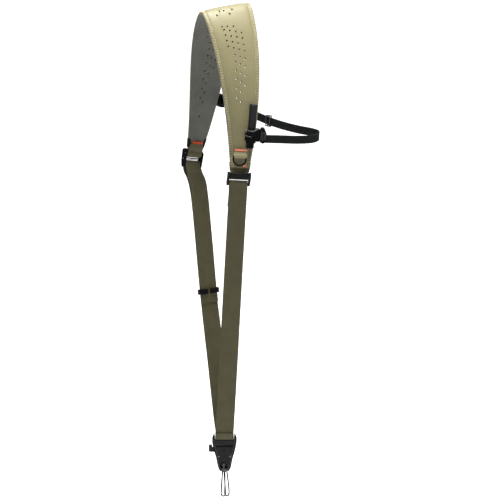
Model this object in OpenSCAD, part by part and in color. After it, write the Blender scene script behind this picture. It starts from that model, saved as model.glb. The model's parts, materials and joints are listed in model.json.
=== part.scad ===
// Shoulder sling harness strap: wide padded shoulder piece, two webbing legs,
// slide adjusters, side stabilizer strap and a quick-release connector.
// Millimetres. +X to the wearer's left, -Y front leg, +Y rear leg, +Z up.
// Origin: underside of the pad at the middle of the shoulder.

/* [Shoulder pad] */
// Arc length of half the pad, from the shoulder ridge to one end
pad_half = 225; // [210:1:235]
// Width of the pad at the shoulder
pad_w = 71; // [60:1:80]
// Width of the pad at its ends
pad_end_w = 25; // [25:1:30]
// Thickness of the soft lining
lining_t = 1; // [0.8:0.1:1.5]
// Thickness of the foam core
foam_t = 3; // [2.5:0.1:4]
// Thickness of the outer cover
cover_t = 1; // [0.8:0.1:1.5]

/* [Webbing] */
// Width of the leg webbing
web_w = 25; // [22:0.5:25]
// Thickness of the leg webbing
web_t = 1.5; // [1.2:0.1:1.6]
// Width of the stabilizer webbing
stab_w = 11.2; // [9:0.2:12]
// Thickness of the stabilizer webbing
stab_t = 1.4; // [1.2:0.1:1.5]

/* [Adjusters] */
// Overall width of a slide adjuster
adj_w = 31.6; // [31:0.2:33]
// Diameter of the polished bar
adj_bar_d = 3.4; // [3:0.1:3.6]
// Inward lean of the front adjuster
front_tilt = 34; // [25:1:38]
// Inward lean of the rear adjuster
rear_tilt = 12; // [5:1:20]

/* [Connector] */
// Width of the connector across its ears
con_w = 33.4; // [33:0.2:35]
// Thickness of one connector shell
shell_t = 5.5; // [5.2:0.1:6.5]
// Diameter of the crossbar pin
bar_d = 4.4; // [4:0.1:4.6]
// Travel of the release button
button_travel = 2.2; // [1.5:0.1:2.4]
// Diameter of the loop cord
cord_d = 1.4; // [1.2:0.1:1.6]

/* [Hidden] */
$fn = 48;

olive = "#8a8562";
olive_dark = "#4c4b36";
grey_green = "#5a594f";
jet = "#1e2021";
steel = "#c9c9cb";
orange = "#d0603a";

// ---------- pad surface ----------
// The pad is a ribbon swept over the shoulder. s is the arc length from the ridge.
n_half = 26;
s_at = [for (i = [0:n_half]) pad_half * pow(i / n_half, 1.45)];
function bend(s) = 43 * (1 - exp(-s / 5)) + 44 * (1 - exp(-s / 85));
arc = [for (i = 0, u = 0, z = 0; i <= n_half;
        u = i < n_half ? u + (s_at[i + 1] - s_at[i]) * cos(bend((s_at[i + 1] + s_at[i]) / 2)) : u,
        z = i < n_half ? z - (s_at[i + 1] - s_at[i]) * sin(bend((s_at[i + 1] + s_at[i]) / 2)) : z,
        i = i + 1) [u, z]];
ridge_az = 24;
function unit(v) = v / norm(v);
function pad_az(side, q) = side < 0 ? ridge_az - 19 * q : ridge_az + 5 * q;
function pad_shift(side, q) = side < 0 ? -10.5 * pow(q, 2.6) : -12.5 * pow(q, 3.5);
function pad_width(side, q) = pad_w - (pad_w - pad_end_w) * pow(q, side < 0 ? 1.25 : 1.4);
function raw_w(side, i) = let (a = pad_az(side, s_at[i] / pad_half), t = 4.4 * exp(-s_at[i] / 40))
    [cos(a) * cos(t), sin(a) * cos(t), sin(t)];
function raw_c(side, i) = [-sin(ridge_az) * arc[i][0] * side, cos(ridge_az) * arc[i][0] * side, arc[i][1]]
    + raw_w(side, i) * pad_shift(side, s_at[i] / pad_half);
// Stations run from the front end over the ridge to the rear end
n_st = 2 * n_half;
function st_side(k) = k < n_half ? -1 : 1;
function st_i(k) = abs(k - n_half);
st_c = [for (k = [0:n_st]) raw_c(st_side(k), st_i(k))];
st_t = [for (k = [0:n_st]) unit(st_c[min(n_st, k + 1)] - st_c[max(0, k - 1)])];
st_w = [for (k = [0:n_st]) let (w = raw_w(st_side(k), st_i(k))) unit(w - st_t[k] * (w * st_t[k]))];
st_n = [for (k = [0:n_st]) cross(st_w[k], st_t[k])];
st_wd = [for (k = [0:n_st]) pad_width(st_side(k), s_at[st_i(k)] / pad_half)];

// Closed tube of quads through rings of m points each
module sweep(rings) {
    m = len(rings[0]);
    n = len(rings);
    pts = [for (r = rings) for (p = r) p];
    faces = concat([[for (j = [0:m - 1]) j]],
        [for (i = [0:n - 2]) for (j = [0:m - 1])
            for (f = [[i * m + j, (i + 1) * m + j, (i + 1) * m + (j + 1) % m],
                      [i * m + j, (i + 1) * m + (j + 1) % m, i * m + (j + 1) % m]]) f],
        [[for (j = [m - 1:-1:0]) (n - 1) * m + j]]);
    polyhedron(pts, faces, convexity = 8);
}

// One layer of the pad between two heights above its underside
module pad_layer(h0, h1, inset) {
    sweep([for (k = [0:n_st]) let (c = st_c[k], w = st_w[k] * (st_wd[k] / 2 - inset), n = st_n[k])
        [c - w + n * h0, c + w + n * h0, c + w + n * h1, c - w + n * h1]]);
}

// A flat ribbon: points, width directions, width and thickness
module ribbon(p, wv, w, t) {
    n = len(p);
    sweep([for (i = [0:n - 1]) let (d = unit(p[min(n - 1, i + 1)] - p[max(0, i - 1)]),
            a = unit(wv[i] - d * (wv[i] * d)), b = cross(a, d))
        [p[i] - a * w / 2 - b * t / 2, p[i] + a * w / 2 - b * t / 2,
         p[i] + a * w / 2 + b * t / 2, p[i] - a * w / 2 + b * t / 2]]);
}

// Place children in a frame given by its origin and its x and z directions
module at_frame(o, x, z) {
    xx = unit(x - z * (x * z));
    y = cross(z, xx);
    multmatrix([[xx[0], y[0], z[0], o[0]], [xx[1], y[1], z[1], o[1]], [xx[2], y[2], z[2], o[2]], [0, 0, 0, 1]])
        children();
}

// Rounded rectangle from exact pieces
module rrect(x0, x1, y0, y1, r) {
    translate([x0 + r, y0]) square([x1 - x0 - 2 * r, y1 - y0]);
    translate([x0, y0 + r]) square([x1 - x0, y1 - y0 - 2 * r]);
    for (x = [x0 + r, x1 - r], y = [y0 + r, y1 - r]) translate([x, y]) circle(r);
}
// Extrude a drawing made in the YZ plane along X, centred
module along_x(w) { rotate([90, 0, 90]) linear_extrude(w, center = true) children(); }

// ---------- pad ends and adjusters ----------
front_up = unit(st_c[2] - st_c[0]);
rear_up = unit(st_c[n_st - 2] - st_c[n_st]);
front_x = st_w[0];
rear_x = st_w[n_st];
mid_h = (lining_t + foam_t + cover_t) / 2;
front_drop = 3.5;
rear_drop = 9.5;
rear_yaw = 8;
rear_roll = 5.5;
front_rod = st_c[0] + st_n[0] * mid_h - front_up * front_drop;
rear_rod = st_c[n_st] + st_n[n_st] * mid_h - rear_up * rear_drop;
pin_d = 3;
bar_y = 2.2;
bar_z = -7.6;
low_y = 1;
low_z = -17.2;
low_d = 3.6;

// o is -1 where outward is local -Y (front) and +1 where it is local +Y (rear)
module in_adjuster(rear) {
    if (rear) at_frame(rear_rod, rear_x, rear_up) rotate([0, 0, rear_yaw]) rotate([0, rear_roll, 0]) rotate([-rear_tilt, 0, 0]) children();
    else at_frame(front_rod, front_x, front_up) rotate([front_tilt, 0, 0]) mirror([0, 1, 0]) children();
}
// Everything below is drawn with outward as local +Y; the front one is mirrored
module adj_frame() {
    difference() {
        intersection() {
            union() {
                for (s = [-1, 1]) translate([s * (adj_w / 2 - 1.3), 0, 0]) along_x(2.6) adj_side();
                translate([0, 4.5, 0.6]) along_x(adj_w) rrect(-1.1, 1.1, -5.2, 5.4, 0.8);
                translate([-adj_w / 2 + 1.5, low_y, low_z]) rotate([0, 90, 0]) cylinder(d = low_d, h = adj_w - 3);
            }
            // Rounded outline, as seen from in front
            rotate([90, 0, 0]) linear_extrude(30, center = true) rrect(-adj_w / 2, adj_w / 2, -19.9, 6, 3);
        }
        translate([-adj_w / 2 - 1, 0, 0]) rotate([0, 90, 0]) cylinder(d = pin_d, h = adj_w + 2);
        translate([-adj_w / 2 - 1, bar_y, bar_z]) rotate([0, 90, 0]) cylinder(d = adj_bar_d, h = adj_w + 2);
    }
}
// Side of the frame: wide at the pin and the block, narrower at the lower bar
module adj_side() {
    hull() {
        rrect(-2.6, 5.6, -3, 1.6, 1.6);
        translate([3.4, 3.8]) circle(2.2);
        rrect(-1.6, 5.2, -12, -8, 1.6);
        translate([low_y, low_z]) circle(2.7);
    }
}
module adj_pin() { translate([-adj_w / 2 + 0.4, 0, 0]) rotate([0, 90, 0]) cylinder(d = pin_d, h = adj_w - 0.8); }
module adj_bar() { translate([-adj_w / 2 + 0.4, bar_y, bar_z]) rotate([0, 90, 0]) cylinder(d = adj_bar_d, h = adj_w - 0.8); }
module adj_wrap() {
    translate([0, low_y, low_z]) rotate([0, 90, 0]) difference() {
        cylinder(r = low_d / 2 + web_t, h = web_w, center = true);
        cylinder(r = low_d / 2, h = web_w + 1, center = true);
    }
}
// Short webbing from the pad end around the adjuster's pin
module end_loop(drop) {
    along_x(web_w - 0.6) difference() {
        union() {
            circle(pin_d / 2 + 0.35 + web_t - 0.1);
            translate([-1.55, 0]) square([3.1, drop]);
        }
        circle(pin_d / 2 + 0.35);
    }
}

module pad_cover() { color(olive) pad_layer(lining_t + foam_t, lining_t + foam_t + cover_t, 0); }
module pad_foam() { color("#3b3b36") pad_layer(lining_t, lining_t + foam_t, 0.8); }
module pad_lining() { color(grey_green) pad_layer(0, lining_t, 0); }
// Black reinforcing patches folded over the edges of each pad end
module pad_end_patches() {
    color(jet) for (e = [[0, front_x, front_up, 25.2], [n_st, rear_x, rear_up, 25.2]])
        for (s = [-1, 1]) at_frame(st_c[e[0]] + st_n[e[0]] * mid_h, e[1], e[2])
            translate([s * (e[3] / 2 + 0.1) - 0.25, -2, -1.2]) cube([0.5, 4, 6]);
}
module front_end_loop() { color(olive_dark) at_frame(front_rod, front_x, front_up) end_loop(front_drop - 0.1); }
// The rear loop twists a little between the pad and its adjuster, so its top is cut square to the pad
module rear_end_loop() {
    color(olive_dark) at_frame(rear_rod, rear_x, rear_up) difference() {
        rotate([0, 0, rear_yaw]) rotate([0, rear_roll, 0]) end_loop(rear_drop + 4);
        translate([-30, -20, rear_drop - 0.1]) cube([60, 40, 20]);
    }
}

// Orange bar tacks: two across the front tab and one inside the rear end
module tack(w) { along_x(w) rrect(-0.35, 0.35, -1.1, 1.1, 0.3); }
module bartacks() {
    color(orange) {
        at_frame(tab_o + [0, -1.1, 8.2], tab_x, tab_z) tack(16);
        at_frame(st_c[n_st - 1] - st_n[n_st - 1] * 0.4, rear_x, rear_up) tack(17);
        at_frame(tab_o + [7.6, -0.1, -13.6], tab_x, tab_z) tack(3.6);
    }
}

// ---------- D-ring ----------
tab_o = [19.6, -72.5, -184];
tab_z = unit([0.08, 0.11, 1]);
tab_x = front_x;
ring_w = 19.4;
ring_d = 2.3;
bow_z = 4.2;
module d_ring_tab() {
    color(olive) at_frame(tab_o, tab_x, tab_z) difference() {
        union() {
            along_x(14.2) union() {
                circle(ring_d / 2 + 0.3 + 1.2);
                translate([-0.4, 0]) square([3, 4]);
            }
            along_x(16.4) translate([-0.4, 3.4]) square([3, 6.2]);
        }
        rotate([0, 90, 0]) cylinder(r = ring_d / 2 + 0.3, h = 40, center = true);
    }
}
// The ring: a straight bar closed by a round bow, hanging down
module d_ring() {
    color(jet) at_frame(tab_o, tab_x, tab_z) {
        r = ring_w / 2 - ring_d / 2;
        rotate([0, 90, 0]) cylinder(d = ring_d, h = 2 * r, center = true);
        for (s = [-1, 1]) {
            translate([s * r, 0, 0]) sphere(d = ring_d);
            translate([s * r, 0, -bow_z]) cylinder(d = ring_d, h = bow_z);
        }
        translate([0, 0, -bow_z]) rotate([90, 0, 0]) difference() {
            rotate_extrude() translate([r, 0]) circle(d = ring_d);
            translate([-20, 0, -5]) cube([40, 20, 10]);
        }
    }
}

// ---------- rails and sliders ----------
rail_z = unit([0.09, 0.10, 1]);
front_rail_x = [cos(10), sin(10), 0];
rear_rail_x = [cos(27), sin(27), 0];
front_rail_o = [34.4, -65.6, -161];
rear_rail_o = [-19.9, 69.1, -141];
head_w = 7.6;
head_t = 2.6;
stem_w = 4.4;
stem_t = 1.8;
// Drawn with outward as local +Y; z from zb to zt along the rail
// The base is a wedge that reaches back to the pad: depth db at the bottom, dt at the top
module rail(zb, zt, db, dt) {
    along_x(10) polygon([[0, zb], [0, zt], [-dt, zt], [-db, zb]]);
    translate([-stem_w / 2, -0.1, zb + 1]) cube([stem_w, stem_t + 0.2, zt - zb - 2]);
    translate([-head_w / 2, stem_t, zb + 1]) cube([head_w, head_t, zt - zb - 4.8]);
    translate([0, stem_t, zt - 3.8]) rotate([-90, 0, 0]) cylinder(d = head_w, h = head_t);
}
// Slot that a slider needs to run on the rail, with running clearance g
module rail_slot(g, h) {
    translate([-head_w / 2 - g, stem_t - g, -h]) cube([head_w + 2 * g, head_t + 2 * g, 2 * h]);
    translate([-stem_w / 2 - g, -1, -h]) cube([stem_w + 2 * g, stem_t + 2, 2 * h]);
}
module on_front_rail() { at_frame(front_rail_o, front_rail_x, rail_z) mirror([0, 1, 0]) children(); }
module on_rear_rail() { at_frame(rear_rail_o, rear_rail_x, rail_z) children(); }
module front_rail() { color(jet) on_front_rail() rail(-14, 46, 0.9, 6.4); }
module rear_rail() { color(jet) on_rear_rail() rail(-8.5, 28, 1.2, 9.6); }
module front_slider() {
    color(jet) on_front_rail() difference() {
        union() {
            translate([0, 0, -5.6]) linear_extrude(18.4) rrect(-7, 5.7, 0.4, 7.4, 1.2);
            translate([0, 0, -12.6]) linear_extrude(8) rrect(-5.6, 3.4, 0.4, 7, 1.2);
            translate([-9.2, 1.6, -2.4]) rotate([0, 0, 0]) linear_extrude(10.4) rrect(0, 5, 0, 4.4, 1.2);
            translate([-1, 7.2, -3.6]) rotate([90, 0, 0]) translate([0, 0, -1]) cylinder(r = 4.4, h = 1.2);
        }
        rail_slot(0.3, 20);
    }
}
module rear_slider() {
    color(jet) on_rear_rail() {
        difference() {
            linear_extrude(14, center = true) rrect(-6, 9.5, 0.4, 7.2, 1.2);
            rail_slot(0.3, 20);
        }
        // Knob that the strap enters, beside the pad's edge
        difference() {
            translate([0, 4.2, 0]) rotate([90, 0, 0]) linear_extrude(11.6) offset(1.8) offset(-1.8)
                polygon([[9.2, -9.6], [14, -10.6], [20.4, -9.8], [20.4, -3.4], [17.4, 6.8], [11, 6.8], [9.2, 3]]);
            translate([12.4, -9, -6.1]) cube([4.4, 8, 12.2]);
        }
    }
}

// ---------- stabilizer buckle and strap ----------
// Buckle frame: x along the strap, z up
bk_o = [38.7, -68.1, -156.6];
bk_x = unit([1, 0.10, -0.06]);
module in_buckle() { at_frame(bk_o, bk_x, rail_z) children(); }
module buckle_socket() {
    color(jet) in_buckle() difference() {
        rotate([90, 0, 0]) linear_extrude(8.6, center = true) rrect(1.7, 7.4, -7.6, 9.8, 1.4);
        translate([2.9, -2.5, -6.2]) cube([10, 5, 14.6]);
    }
}
module buckle_tongue() {
    color(jet) in_buckle() {
        translate([3.3, -2.1, -5.7]) cube([5.3, 4.2, 13.6]);
        difference() {
            rotate([90, 0, 0]) linear_extrude(8, center = true) offset(1.6) offset(-1.6)
                polygon([[7.8, -8], [12, -9.8], [16.2, -7.4], [16.2, 4.4], [12.6, 11.6], [7.8, 11.6]]);
            translate([13.4, -0.95, -11.4]) cube([6, 1.9, 12.4]);
        }
        for (x = [9.2, 11.2, 13.2]) translate([x, -4, -6.4]) cylinder(r = 0.55, h = 13.6);
    }
}
// Route of the stabilizer webbing, from the buckle round the arm to the rear slider
stab_route = [[52.8, -67.2, -161.4], [75, -65.2, -162.6], [95, -63.6, -163.6], [111, -61.8, -163.6],
    [120.5, -58.4, -163], [125.5, -52.5, -161.6], [124.5, -46.5, -160.2], [117, -41, -159],
    [100, -31.5, -158], [80, -19, -156.2], [61, -5, -153.6], [45, 9, -150.4], [25, 29, -146.4], [8, 47, -143], [-2.6, 66.6, -141.2]];
stab_split = 5;
up_w = [for (p = stab_route) [0.06, 0.05, 1]];
function part(v, a, b) = [for (i = [a:b]) v[i]];
module stabilizer_front_strap() {
    color(jet) ribbon(concat(part(stab_route, 0, stab_split - 1), [stab_route[stab_split] + [0.2, -0.8, -0.1]]),
        part(up_w, 0, stab_split), stab_w, stab_t);
}
module stabilizer_rear_strap() {
    color(jet) ribbon(concat([stab_route[stab_split] + [-0.1, 0.8, 0.1]], part(stab_route, stab_split + 1, 14)),
        part(up_w, stab_split, 14), stab_w, stab_t);
}
// Small ribbed tri-glide on the rear run of the stabilizer
tg_o = [58.1, -2.5, -153.1];
tg_x = unit([-16, 14, 3.2]);
module triglide() {
    color("#3a3b3d") at_frame(tg_o, tg_x, unit([0.06, 0.05, 1])) {
        for (s = [-1, 1]) translate([-3.6, -1.8, s * (stab_w / 2 + 1.4) - 0.7]) cube([7.2, 3.6, 1.4]);
        for (x = [-3.2, 0, 3.2]) translate([x, -1.85, -stab_w / 2 - 2.1]) cylinder(r = 0.55, h = stab_w + 4.2);
        for (x = [-3.2, 3.2]) translate([x, 1.85, -stab_w / 2 - 2.1]) cylinder(r = 0.55, h = stab_w + 4.2);
    }
}

// ---------- webbing legs ----------
con_o = [-1.5, 0, -601];
wrap_in = bar_d / 2 + 0.35;
function dens(v, m) = concat([for (i = [0:len(v) - 2]) for (j = [0:m - 1]) v[i] + (v[i + 1] - v[i]) * j / m], [v[len(v) - 1]]);
front_leg = [[17.2, -63.8, -231.8], [14, -54, -290], [8.8, -37, -390], [3.8, -20.4, -490], [-1.5, -3.3, -589.8]];
front_leg_w = [[1, 0.09, 0.05], [1, 0.08, 0.05], [1, 0.06, 0.05], [1, 0.03, 0.05], [1, 0, 0.04]];
rear_leg = [[-44.4, 60.3, -240.8], [-38.9, 58, -254], [-36, 54.6, -270], [-23.6, 33.8, -400], [-12.4, 17.8, -495], [-1.5, 3.3, -589.8]];
rear_leg_w = [[0.77, 0.6, -0.2], [0.86, 0.5, 0], [0.89, 0.45, 0.08], [0.89, 0.45, 0.08], [0.95, 0.26, 0.06], [1, 0, 0.05]];
module front_webbing() { color(olive_dark) ribbon(dens(front_leg, 4), dens(front_leg_w, 4), web_w, web_t); }
module rear_webbing() { color(olive_dark) ribbon(dens(rear_leg, 4), dens(rear_leg_w, 4), web_w, web_t); }
// Free tail of the rear leg, lying on its inner face as far as the keeper
tail_in = [0.45, -0.84, -0.13];
tail_route = [[-41.6, 55.6, -240.2], [-38.9, 58, -254] + tail_in * 3.2, [-36, 54.6, -270] + tail_in * 2,
    [-23.6, 33.8, -400] + tail_in * 2, [-21.8, 31.3, -415] + tail_in * 2];
tail_w = [[0.77, 0.6, -0.2], [0.86, 0.5, 0], [0.89, 0.45, 0.08], [0.89, 0.45, 0.08], [0.9, 0.43, 0.08]];
module rear_webbing_tail() { color(olive_dark) ribbon(dens(tail_route, 3), dens(tail_w, 3), web_w - 0.4, web_t); }
module bottom_loop() {
    color(olive_dark) translate(con_o) difference() {
        along_x(web_w) difference() {
            union() {
                circle(wrap_in + web_t);
                translate([-wrap_in - web_t, 0]) square([web_t, 9.8]);
                translate([wrap_in, 0]) square([web_t, 9.8]);
            }
            circle(wrap_in);
            translate([-wrap_in, 0]) square([2 * wrap_in, 12]);
        }
    }
}
// Keeper: a flat clip holding the tail against the leg, two arms with a gap
keep_p = [-23.6, 33.8, -400] + tail_in;
keep_z = unit(rear_leg[2] - rear_leg[3]);
module strap_keeper() {
    color(jet) at_frame(keep_p, [0.89, 0.45, 0.08], keep_z) difference() {
        linear_extrude(6.8, center = true) rrect(-15, 15, -3.6, 3.6, 1.4);
        translate([-13, -2.1, -5]) cube([26, 4.2, 10]);
        translate([-1.6, -6, -5]) cube([3.2, 5, 10]);
    }
}

// ---------- connector ----------
// Outline of half the body, drawn down from the crossbar axis
con_half = [[13.2, 8.6], [15.4, 7.2], [16.7, 3.6], [16.6, -1], [15.2, -9], [13.2, -17], [11.4, -23], [9.9, -31],
    [8.9, -36], [7.2, -40], [4.4, -43.4], [1.6, -45]];
module con_outline() {
    polygon(concat([for (p = con_half) [p[0] * con_w / 33.4, p[1]]],
        [for (i = [len(con_half) - 1:-1:0]) [-con_half[i][0] * con_w / 33.4, con_half[i][1]]]));
}
module con_cuts() {
    // gap for the webbing above the body
    translate([-13, -10, -5.6]) cube([26, 20, 20]);
    // seats of the crossbar
    rotate([0, 90, 0]) cylinder(d = bar_d, h = 31, center = true);
    // cavity of the latch and its spring
    translate([-9.6, -2.8, -15.6]) cube([18.4, 5.6, 6.6]);
    // way in for the button's stem
    translate([-20, -2.8, -15.6]) cube([12, 5.6, 6.6]);
    // seats of the rivets
    for (x = [-1, 1]) translate([x * 7.6, -10, -21]) rotate([-90, 0, 0]) cylinder(d = 2.4, h = 20);
}
module connector_front_shell() {
    color(jet) translate(con_o) difference() {
        union() {
            rotate([90, 0, 0]) linear_extrude(shell_t - 1.4) con_outline();
            rotate([90, 0, 0]) linear_extrude(shell_t) translate([0, -1]) scale([0.91, 0.955]) con_outline();
        }
        con_cuts();
        // window for the anchor ball and the slot that its cord leaves by
        translate([-1.2, 1, -33]) rotate([90, 0, 0]) cylinder(r = 4.6, h = 12);
        translate([-5.8, -11, -38]) cube([9.2, 12, 5]);
        translate([-4.4, -11, -50]) cube([9.3, 12, 14]);
    }
}
module connector_back_shell() {
    color(jet) translate(con_o) difference() {
        union() {
            mirror([0, 1, 0]) rotate([90, 0, 0]) linear_extrude(shell_t - 1.4) con_outline();
            mirror([0, 1, 0]) rotate([90, 0, 0]) linear_extrude(shell_t) translate([0, -1]) scale([0.91, 0.955]) con_outline();
        }
        con_cuts();
        // back half of the ball's recess
        translate([-5.8, -1, -38]) cube([9.2, 3.4, 9]);
        translate([-4.4, -1, -50]) cube([9.3, 3.4, 14]);
    }
}
module crossbar_pin() { color(steel) translate(con_o) rotate([0, 90, 0]) cylinder(d = bar_d, h = 30.6, center = true); }
module shell_rivets() {
    color("#2a2b2d") translate(con_o) for (x = [-1, 1]) translate([x * 7.6, 0, -21]) rotate([90, 0, 0]) {
        cylinder(d = 2.4, h = 2 * shell_t - 0.4, center = true);
        translate([0, 0, -shell_t - 0.5]) cylinder(d = 3.8, h = 0.5);
    }
}
// Thumb button with its stem and latch bar, pressed towards +X
module release_button() {
    color(jet) translate(con_o) {
        translate([-21.3, 0, -15]) rotate([90, 0, 0]) linear_extrude(7.6, center = true) rrect(0, 4.8, 0, 8.6, 1.2);
        translate([-17, -2.5, -15.3]) cube([12, 5, 6]);
        translate([-6, -2.5, -15.3]) cube([6, 5, 6]);
    }
}
spring_n = 5;
spring_x0 = 0;
spring_x1 = 8.8;
module button_spring() {
    r = 1.9;
    w = 0.35;
    steps = spring_n * 12;
    color(steel) translate(con_o + [0, 0, -12.3]) sweep([for (i = [0:steps]) let (a = i * 30,
            x = spring_x0 + w + (spring_x1 - spring_x0 - 2 * w) * i / steps)
        [for (j = [0:5]) let (b = -60 * j, rr = r + w * cos(b)) [x + w * sin(b), rr * cos(a), rr * sin(a)]]]);
}

// ---------- anchor and cord ----------
ball_o = con_o + [-1.2, -0.6, -33];
module anchor_ball() {
    color("#47494c") translate(ball_o) difference() {
        union() {
            sphere(d = 5.6);
            translate([0, 0, -6.6]) cylinder(d = 3.4, h = 5);
            translate([1.45, 0, -10]) rotate([90, 0, 0]) linear_extrude(4.4, center = true) rrect(-4.1, 4.1, 0, 4, 0.9);
        }
    }
}
// Two loops of thin cord side by side, each leaving the anchor and coming back to it
cord_left = [[-4.3, -1.2, -644.1], [-4.4, -1.2, -648], [-4.8, -1.2, -655], [-5.3, -1.2, -663], [-5.8, -1.2, -670],
    [-5.9, -1.2, -675.6], [-5.1, -1.2, -677.8], [-3.1, -1.2, -678.8], [-1.1, -1.2, -677.8], [-0.3, -1.2, -675.6],
    [-0.4, -1.2, -669], [-0.9, -1.2, -662], [-1.3, -1.2, -655], [-1.7, -1.2, -649], [-1.8, -1.2, -644.1]];
cord_right = [[-0.9, 0.5, -644.1], [-0.9, 0.5, -648], [-0.9, 0.5, -655], [-0.9, 0.5, -662], [-1, 0.5, -669],
    [-1, 0.5, -675.6], [-0.2, 0.5, -677.9], [1.8, 0.5, -678.9], [3.8, 0.5, -677.9], [4.6, 0.5, -675.6],
    [4.5, 0.5, -669], [3.9, 0.4, -662], [3.1, 0.3, -655], [2.3, 0.2, -649], [1.9, 0.2, -644.1]];
module cord(route) {
    v = dens(route, 2);
    n = len(v);
    t = [for (i = [0:n - 1]) unit(v[min(n - 1, i + 1)] - v[max(0, i - 1)])];
    color("#17181a") sweep([for (i = [0:n - 1]) let (yv = [0.02, 1, 0.05], a = unit(yv - t[i] * (yv * t[i])), b = cross(t[i], a))
        [for (j = [0:7]) v[i] + (a * cos(-45 * j) + b * sin(-45 * j)) * cord_d / 2]]);
}

pad_cover();
pad_foam();
pad_lining();
pad_end_patches();
front_end_loop();
rear_end_loop();
bartacks();
d_ring_tab();
front_rail();
rear_rail();
front_webbing();
rear_webbing();
rear_webbing_tail();
bottom_loop();
d_ring();
color(jet) in_adjuster(false) adj_frame();  // front_adjuster_frame
color("#2a2b2d") in_adjuster(false) adj_pin();  // front_adjuster_pin
color(steel) in_adjuster(false) adj_bar();  // front_adjuster_bar
color(olive_dark) in_adjuster(false) adj_wrap();  // front_leg_wrap
color(jet) in_adjuster(true) adj_frame();  // rear_adjuster_frame
color("#2a2b2d") in_adjuster(true) adj_pin();  // rear_adjuster_pin
color(steel) in_adjuster(true) adj_bar();  // rear_adjuster_bar
color(olive_dark) in_adjuster(true) adj_wrap();  // rear_leg_wrap
strap_keeper();
front_slider();
buckle_socket();
buckle_tongue();
stabilizer_front_strap();
rear_slider();
stabilizer_rear_strap();
triglide();
connector_front_shell();
connector_back_shell();
crossbar_pin();
shell_rivets();
release_button();
button_spring();
anchor_ball();
cord(cord_left);  // cord_loop_left
cord(cord_right);  // cord_loop_right
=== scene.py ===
import bpy, bmesh, math, json, random
import numpy as np
from mathutils import Vector, Matrix
from mathutils.geometry import delaunay_2d_cdt


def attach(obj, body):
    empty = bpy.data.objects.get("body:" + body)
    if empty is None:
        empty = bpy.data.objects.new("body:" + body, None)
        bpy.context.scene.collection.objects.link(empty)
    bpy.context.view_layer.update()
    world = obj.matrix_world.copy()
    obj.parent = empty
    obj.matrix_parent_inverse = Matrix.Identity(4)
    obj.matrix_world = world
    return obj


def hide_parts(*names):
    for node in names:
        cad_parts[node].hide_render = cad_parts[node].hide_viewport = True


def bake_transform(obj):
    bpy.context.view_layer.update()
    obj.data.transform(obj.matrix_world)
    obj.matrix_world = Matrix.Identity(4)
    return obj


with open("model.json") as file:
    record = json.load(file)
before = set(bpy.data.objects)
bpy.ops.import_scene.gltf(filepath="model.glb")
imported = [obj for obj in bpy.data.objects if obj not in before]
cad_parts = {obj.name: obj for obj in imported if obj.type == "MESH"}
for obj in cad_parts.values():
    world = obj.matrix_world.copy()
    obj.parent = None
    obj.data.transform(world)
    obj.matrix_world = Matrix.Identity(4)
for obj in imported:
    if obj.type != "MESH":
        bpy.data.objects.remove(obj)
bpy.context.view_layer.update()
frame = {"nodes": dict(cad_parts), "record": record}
REC = frame["record"]
NODES = frame["nodes"]


MM = 0.001
rng = random.Random(7)


# ------------------------------------------------------------------ camera, light, floor
def look_at(obj, target):
    d = Vector(target) - obj.location
    obj.rotation_euler = d.to_track_quat("-Z", "Y").to_euler()


EL = math.radians(15.0)
cam_data = bpy.data.cameras.new("camera")
cam = bpy.data.objects.new("camera", cam_data)
bpy.context.scene.collection.objects.link(cam)
bpy.context.scene.camera = cam
aim = Vector((0.0331, 0.0, -0.3340))
dist = 24.0
cam.location = aim + Vector((0, -math.cos(EL), math.sin(EL))) * dist
look_at(cam, aim)
cam_data.sensor_width = 36.0
cam_data.lens = 36.0 * dist / 0.675
cam_data.clip_start = 1.0
cam_data.clip_end = 60.0


def area(name, loc, size, power, target, color=(1, 1, 1), size_y=None):
    l = bpy.data.lights.new(name, "AREA")
    l.energy = power
    l.color = color
    l.size = size
    if size_y:
        l.shape = "RECTANGLE"
        l.size_y = size_y
    o = bpy.data.objects.new(name, l)
    o.location = loc
    bpy.context.scene.collection.objects.link(o)
    look_at(o, target)
    return o


MID = (0.02, 0.0, -0.30)
area("key_top", (0.10, -0.12, 1.85), 0.8, 165, MID, (1.0, 0.99, 0.97))
area("fill_right", (1.9, -1.1, 0.1), 1.0, 7, MID)
area("fill_left", (-1.9, -1.3, 0.2), 1.0, 2.5, MID)
area("back_rim", (0.2, 1.8, 0.9), 1.0, 8, MID)

world = bpy.data.worlds.new("studio")
bpy.context.scene.world = world
world.use_nodes = True
world.node_tree.nodes["Background"].inputs["Color"].default_value = (1, 1, 1, 1)
world.node_tree.nodes["Background"].inputs["Strength"].default_value = 0.08
bpy.context.scene.view_settings.view_transform = "Standard"


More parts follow.
